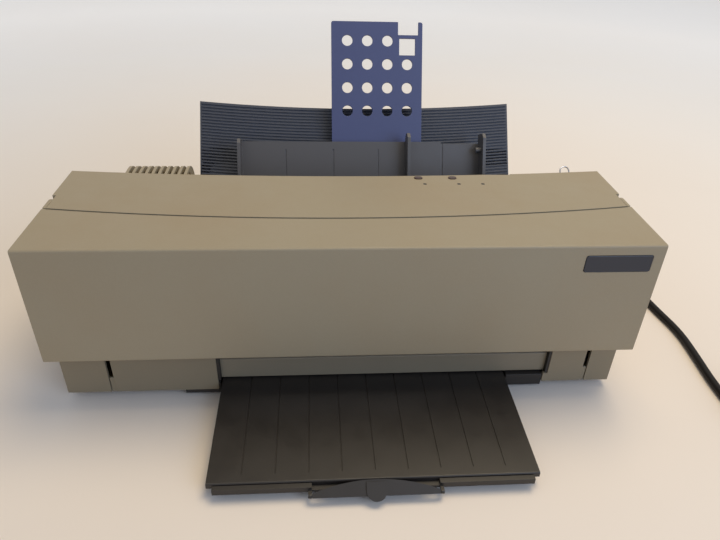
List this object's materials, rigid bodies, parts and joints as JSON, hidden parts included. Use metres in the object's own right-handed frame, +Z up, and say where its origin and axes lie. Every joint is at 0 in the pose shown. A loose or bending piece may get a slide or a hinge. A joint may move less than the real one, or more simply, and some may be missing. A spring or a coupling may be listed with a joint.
{
  "type": "desktop thermal printer",
  "caption": "Desktop thermal transfer printer with a curved-seam front cover, pull-out output tray and open rear sheet feeder with a perforated paper support.",
  "frame": {"origin": "desk plane under the middle of the printer's bounding box, without its power cord", "axes": "+X to the right seen from the front, +Y to the rear, +Z up"},
  "size_m": [0.6134, 0.4775, 0.2378],
  "materials": {
    "case_beige": "fine grain",
    "exit_grey": "fine grain",
    "black_plastic": "satin",
    "feeder_grey": "satin",
    "lid_slate": "satin",
    "support_blue": "satin",
    "cassette_grey": "satin",
    "button_red": "satin",
    "nameplate_dark": "gloss",
    "lens_green": "gloss",
    "gear_white": "satin",
    "board_green": "satin",
    "connector_shell": "satin",
    "head_ceramic": "satin",
    "rubber_black": "matt",
    "steel": "satin"
  },
  "bodies": {
    "cabinet": {"base_pan": "case_beige", "tray_housing": "black_plastic", "front_bezel": "case_beige", "exit_panel": "exit_grey", "exit_frame": "black_plastic", "upper_case": "case_beige", "hinge_pins": "steel", "indicator_lenses": "lens_green", "control_board": "board_green", "left_side_plate": "steel", "right_side_plate": "steel", "platen_bar": "steel", "platen_pad": "rubber_black", "paper_guide": "steel", "carriage_shaft": "steel", "front_rail": "steel", "drive_belt": "rubber_black", "carriage_motor": "steel", "feed_motor": "steel", "paper_hopper": "feeder_grey", "main_board": "board_green", "power_transformer": "steel", "interface_connector": "connector_shell", "rubber_feet": "rubber_black", "case_screws": "steel", "strain_relief": "rubber_black", "power_cord": "rubber_black", "cord_coil": "rubber_black", "power_plug": "black_plastic", "pinch_bracket": "steel"},
    "cover": {"front_cover": "case_beige", "nameplate": "nameplate_dark", "cassette_rack": "black_plastic", "ribbon_cassettes": "cassette_grey"},
    "tray": {"output_tray": "black_plastic"},
    "extension": {"tray_extension": "black_plastic"},
    "stopper": {"tray_stopper": "black_plastic"},
    "sheet_guide": {"edge_guide": "feeder_grey"},
    "support": {"paper_support": "support_blue"},
    "feeder_lid": {"feeder_cover": "lid_slate"},
    "button_left": {"power_button": "button_red"},
    "button_right": {"feed_button": "button_red"},
    "carriage": {"print_carriage": "black_plastic", "loaded_cassette": "cassette_grey"},
    "head": {"thermal_head": "head_ceramic"},
    "pulley_right": {"motor_pulley": "gear_white"},
    "pulley_left": {"idler_pulley": "gear_white"},
    "feed_shaft": {"feed_roller": "steel", "feed_tyres": "rubber_black", "feed_gear": "gear_white"},
    "exit_shaft": {"exit_roller": "rubber_black", "exit_gear": "gear_white"},
    "idler": {"idler_gear": "gear_white"},
    "pickup_shaft": {"pickup_roller": "rubber_black", "pickup_gear": "gear_white"},
    "pinion": {"feed_pinion": "gear_white"},
    "pinch_shaft": {"pinch_rollers": "gear_white"},
    "lift_plate": {"pressure_plate": "steel"},
    "bail_upper": {"upper_bail": "steel"},
    "bail_lower": {"lower_bail": "steel"}
  },
  "joints": [
    {"name": "cover_hinge", "type": "hinge", "parent": "cabinet", "child": "cover", "pos_m": [0, -0.00564, 0.135], "axis": [-1, 0, 0], "range_deg": [0, 80]},
    {"name": "tray_slide", "type": "slide", "parent": "cabinet", "child": "tray", "axis": [0, 0.9998, 0.0201], "range_m": [0, 0.092]},
    {"name": "extension_slide", "type": "slide", "parent": "tray", "child": "extension", "axis": [0, -0.9998, -0.0201], "range_m": [0, 0.078]},
    {"name": "stopper_hinge", "type": "hinge", "parent": "extension", "child": "stopper", "pos_m": [0.01525, -0.166, 0.00673], "axis": [1, 0, 0], "range_deg": [0, 50]},
    {"name": "edge_guide_slide", "type": "slide", "parent": "cabinet", "child": "sheet_guide", "axis": [1, 0, 0], "range_m": [-0.046, 0.06]},
    {"name": "support_slide", "type": "slide", "parent": "cabinet", "child": "support", "axis": [0, -0.4226, -0.9063], "range_m": [0, 0.078]},
    {"name": "feeder_cover_hinge", "type": "hinge", "parent": "cabinet", "child": "feeder_lid", "pos_m": [0, 0.1146, 0.09541], "axis": [1, 0, 0], "range_deg": [0, 7]},
    {"name": "power_button_press", "type": "slide", "parent": "cabinet", "child": "button_left", "axis": [0, 0, -1], "range_m": [0, 0.0015], "stiffness_N_per_m": 600, "springref_m": -0.001},
    {"name": "feed_button_press", "type": "slide", "parent": "cabinet", "child": "button_right", "axis": [0, 0, -1], "range_m": [0, 0.0015], "stiffness_N_per_m": 600, "springref_m": -0.001},
    {"name": "carriage_slide", "type": "slide", "parent": "cabinet", "child": "carriage", "axis": [1, 0, 0], "range_m": [-0.3, 0]},
    {"name": "head_lift", "type": "hinge", "parent": "carriage", "child": "head", "pos_m": [0.15, 0.01376, 0.055], "axis": [-1, 0, 0], "range_deg": [0, 4]},
    {"name": "motor_pulley_spin", "type": "hinge", "parent": "cabinet", "child": "pulley_right", "pos_m": [0.18, 0.03676, 0.092], "axis": [0, 1, 0], "range_deg": [-20, 2706]},
    {"name": "idler_pulley_spin", "type": "hinge", "parent": "cabinet", "child": "pulley_left", "pos_m": [-0.18, 0.03676, 0.092], "axis": [0, 1, 0], "range_deg": [-20, 2706]},
    {"name": "feed_spin", "type": "hinge", "parent": "cabinet", "child": "feed_shaft", "pos_m": [0, 0.03376, 0.035], "axis": [1, 0, 0], "continuous": true},
    {"name": "exit_spin", "type": "hinge", "parent": "cabinet", "child": "exit_shaft", "pos_m": [0, -0.03424, 0.035], "axis": [1, 0, 0], "continuous": true},
    {"name": "idler_spin", "type": "hinge", "parent": "cabinet", "child": "idler", "pos_m": [-0.207, -0.00024, 0.035], "axis": [1, 0, 0], "continuous": true},
    {"name": "pickup_spin", "type": "hinge", "parent": "cabinet", "child": "pickup_shaft", "pos_m": [0, 0.06325, 0.0656], "axis": [1, 0, 0], "continuous": true},
    {"name": "pinion_spin", "type": "hinge", "parent": "cabinet", "child": "pinion", "pos_m": [-0.207, 0.05167, 0.02403], "axis": [1, 0, 0], "continuous": true},
    {"name": "pinch_spin", "type": "hinge", "parent": "cabinet", "child": "pinch_shaft", "pos_m": [0, 0.03376, 0.0464], "axis": [1, 0, 0], "continuous": true},
    {"name": "lift_plate_hinge", "type": "hinge", "parent": "cabinet", "child": "lift_plate", "pos_m": [0.0207, 0.08874, 0.08341], "axis": [-1, 0, 0], "range_deg": [0, 6]},
    {"name": "upper_bail_hinge", "type": "hinge", "parent": "cabinet", "child": "bail_upper", "pos_m": [0.199, 0.06667, 0.13033], "axis": [1, 0, 0], "range_deg": [0, 70]},
    {"name": "lower_bail_hinge", "type": "hinge", "parent": "cabinet", "child": "bail_lower", "pos_m": [0.199, 0.1157, 0.08919], "axis": [-1, 0, 0], "range_deg": [0, 70]}
  ],
  "couplings": [
    {"joint": "idler_spin", "follows": "feed_spin", "ratio": -0.78947},
    {"joint": "exit_spin", "follows": "feed_spin", "ratio": 1},
    {"joint": "pickup_spin", "follows": "feed_spin", "ratio": -0.54546},
    {"joint": "pinion_spin", "follows": "feed_spin", "ratio": -2.5},
    {"joint": "pinch_spin", "follows": "feed_spin", "ratio": -1.75},
    {"joint": "motor_pulley_spin", "follows": "carriage_slide", "rad_per_m": -156.25},
    {"joint": "idler_pulley_spin", "follows": "carriage_slide", "rad_per_m": -156.25}
  ]
}
